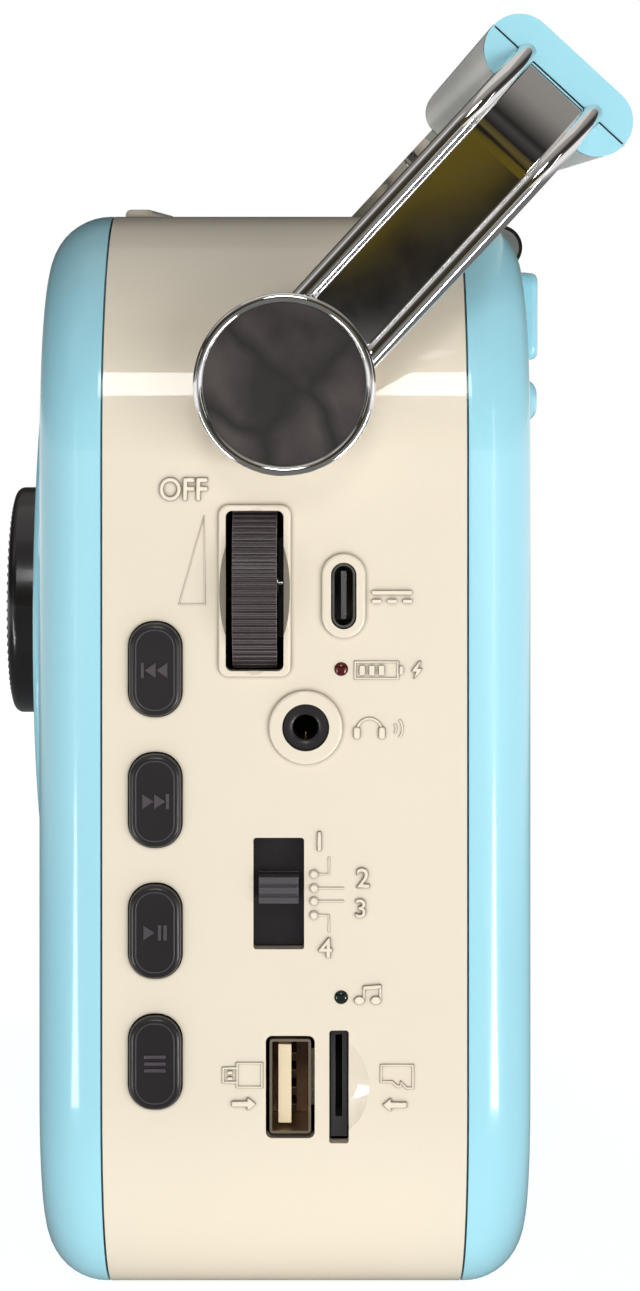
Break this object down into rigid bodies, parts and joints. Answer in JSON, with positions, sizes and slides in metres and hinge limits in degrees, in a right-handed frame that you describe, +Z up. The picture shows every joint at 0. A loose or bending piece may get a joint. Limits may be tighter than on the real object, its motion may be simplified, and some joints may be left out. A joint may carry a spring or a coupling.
{
  "type": "solar radio",
  "caption": "Portable radio with a rounded case, a swinging carry handle, side controls and sockets, a front tuning knob and a solar panel on top.",
  "frame": {"origin": "middle of the flat underside", "axes": "+X towards the control side, +Y to the rear, +Z up"},
  "size_m": [0.2252, 0.0911, 0.1859],
  "materials": {
    "cream": "glossy cream moulding",
    "blue": "satin light-blue moulding",
    "black": "satin black moulding",
    "chrome": "bright chrome plate",
    "silver": "satin silver-grey paint",
    "steel": "plain steel",
    "board": "green circuit board",
    "dark": "dark moulding",
    "cell": "wrapped cell",
    "solar": "dark solar cells under resin",
    "paper": "speaker cone paper",
    "magnet": "ferrite magnet",
    "copper": "wound copper wire",
    "ivory": "ivory insulator",
    "red_lens": "dark red lens",
    "green_lens": "dark green lens",
    "red": "red pointer"
  },
  "bodies": {
    "case": {"centre_band": "cream", "front_shell": "blue", "rear_shell": "blue", "dial_ring": "blue", "dial_plate": "cream", "grille_ring": "blue", "speaker_grille": "steel", "speaker_frame": "dark", "speaker_cone": "paper", "speaker_magnet": "magnet", "solar_tray": "dark", "solar_panel": "solar", "main_board": "board", "board_screws": "steel", "case_screws": "steel", "ferrite_rod": "magnet", "ferrite_coil": "copper", "tuning_capacitor": "ivory", "volume_pot": "dark", "band_switch": "dark", "phone_jack": "black", "data_shell": "steel", "data_insert": "ivory", "charge_shell": "steel", "charge_insert": "dark", "card_socket": "steel", "charge_lamp": "red_lens", "media_lamp": "green_lens", "button_board": "board", "tact_switches": "dark", "battery_tray": "dark", "battery_cell": "cell", "battery_contacts": "steel", "antenna_bracket": "chrome"},
    "handle": {"arm_right": "chrome", "arm_left": "chrome", "hub_disc_right": "black", "hub_disc_left": "black", "grip_upper": "blue", "grip_lower": "silver", "grip_end_right": "blue", "grip_end_left": "blue", "pivot_screws": "steel"},
    "tuner": {"tuning_knob": "black", "tuning_spindle": "steel", "dial_pointer": "red"},
    "volume": {"volume_wheel": "black", "volume_spindle": "steel"},
    "previous": {"button_previous": "black"},
    "next": {"button_next": "black"},
    "play": {"button_play": "black"},
    "mode": {"button_mode": "black"},
    "band": {"band_slider": "black"},
    "door": {"battery_door": "blue"},
    "knuckle": {"antenna_knuckle": "chrome"},
    "mast": {"antenna_fork": "chrome"},
    "stage_2": {"antenna_tube_2": "chrome"},
    "stage_3": {"antenna_tube_3": "chrome"},
    "stage_4": {"antenna_tip": "chrome"}
  },
  "joints": [
    {"name": "handle_swing", "type": "hinge", "parent": "case", "child": "handle", "pos_m": [0, 0, 0.1346], "axis": [1, 0, 0], "range_deg": [-45, 130]},
    {"name": "tuning_turn", "type": "hinge", "parent": "case", "child": "tuner", "pos_m": [0.046, -0.035, 0.098], "axis": [0, -1, 0], "range_deg": [-90, 90]},
    {"name": "volume_turn", "type": "hinge", "parent": "case", "child": "volume", "pos_m": [0.095, -0.0042, 0.1054], "axis": [0, 1, 0], "range_deg": [-135, 135]},
    {"name": "previous_press", "type": "slide", "parent": "case", "child": "previous", "axis": [-1, 0, 0], "range_m": [0, 0.0008], "stiffness_N_per_m": 600},
    {"name": "next_press", "type": "slide", "parent": "case", "child": "next", "axis": [-1, 0, 0], "range_m": [0, 0.0008], "stiffness_N_per_m": 600},
    {"name": "play_press", "type": "slide", "parent": "case", "child": "play", "axis": [-1, 0, 0], "range_m": [0, 0.0008], "stiffness_N_per_m": 600},
    {"name": "mode_press", "type": "slide", "parent": "case", "child": "mode", "axis": [-1, 0, 0], "range_m": [0, 0.0008], "stiffness_N_per_m": 600},
    {"name": "band_slide", "type": "slide", "parent": "case", "child": "band", "axis": [0, 0, 1], "range_m": [-0.0037, 0.002]},
    {"name": "door_pull", "type": "slide", "parent": "case", "child": "door", "axis": [0, 1, 0], "range_m": [0, 0.03]},
    {"name": "antenna_turn", "type": "hinge", "parent": "case", "child": "knuckle", "pos_m": [0.05, 0.0326, 0.1534], "axis": [1, 0, 0], "range_deg": [0, 90]},
    {"name": "antenna_fold", "type": "hinge", "parent": "knuckle", "child": "mast", "pos_m": [0.05, 0.0326, 0.1534], "axis": [0, 0, -1], "range_deg": [0, 90]},
    {"name": "stage_2_pull", "type": "slide", "parent": "mast", "child": "stage_2", "axis": [-1, 0, 0], "range_m": [0, 0.098]},
    {"name": "stage_3_pull", "type": "slide", "parent": "stage_2", "child": "stage_3", "axis": [-1, 0, 0], "range_m": [0, 0.095]},
    {"name": "stage_4_pull", "type": "slide", "parent": "stage_3", "child": "stage_4", "axis": [-1, 0, 0], "range_m": [0, 0.092]}
  ]
}
